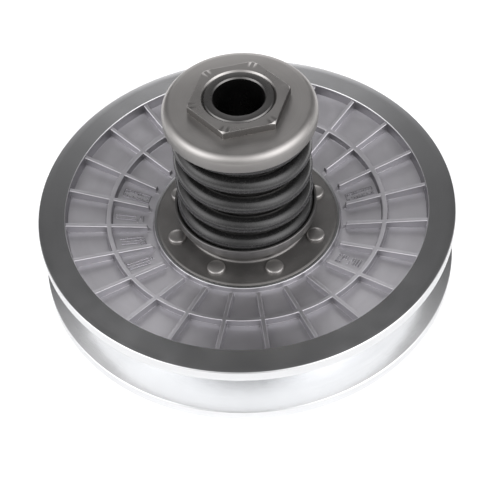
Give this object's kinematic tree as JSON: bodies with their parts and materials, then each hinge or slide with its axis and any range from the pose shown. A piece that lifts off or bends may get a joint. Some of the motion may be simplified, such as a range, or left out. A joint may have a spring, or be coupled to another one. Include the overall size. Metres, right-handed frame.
{
  "type": "variable speed pulley",
  "caption": "Spring-loaded variable-speed V-belt pulley: one cone disc fixed to a hollow sleeve, the other sliding along it against a coil spring.",
  "frame": {"origin": "on the bore's axis, in the plane of the fixed disc's outer rim face", "axes": "+Z along the bore, from the fixed disc towards the spring and the nut; +X through the shaft keyway"},
  "size_m": [0.34, 0.34, 0.1824],
  "materials": {
    "cast_aluminium": "die-cast satin skin with machined and polished belt face and rim",
    "hub_steel": "turned steel with dark oxide",
    "rivet_steel": "cold-headed steel with dark oxide",
    "sleeve_steel": "ground steel, lightly oiled",
    "key_steel": "ground bright steel",
    "black_fastener": "black oxide",
    "stop_polymer": "moulded polyurethane",
    "bush_bronze": "turned bearing bronze",
    "wiper_rubber": "matt nitrile rubber",
    "seat_steel": "pressed and turned bare steel",
    "spring_black": "gloss black paint",
    "slip_nylon": "natural nylon",
    "retainer_steel": "turned bare steel with a light oil film",
    "nut_steel": "milled flats and faced top, bare steel"
  },
  "bodies": {
    "drive_half": {"fixed_sheave": "cast_aluminium", "fixed_hub": "hub_steel", "fixed_rivets": "rivet_steel", "sleeve": "sleeve_steel", "hub_dowels": "key_steel", "drive_keys": "key_steel", "key_screws": "black_fastener", "stop_ring": "stop_polymer", "spring": "spring_black", "slip_washer": "slip_nylon", "spring_retainer": "retainer_steel", "retainer_nut": "nut_steel", "nut_lock_screw": "black_fastener"},
    "sliding_half": {"moving_sheave": "cast_aluminium", "moving_hub": "hub_steel", "moving_rivets": "rivet_steel", "lower_bush": "bush_bronze", "upper_bush": "bush_bronze", "lower_wiper": "wiper_rubber", "upper_wiper": "wiper_rubber", "spring_seat": "seat_steel"}
  },
  "joints": [
    {"name": "disc_slide", "type": "slide", "parent": "drive_half", "child": "sliding_half", "axis": [0, 0, 1], "range_m": [0, 0.028], "stiffness_N_per_m": 20000, "springref_m": -0.004, "deforming": ["spring"]}
  ]
}
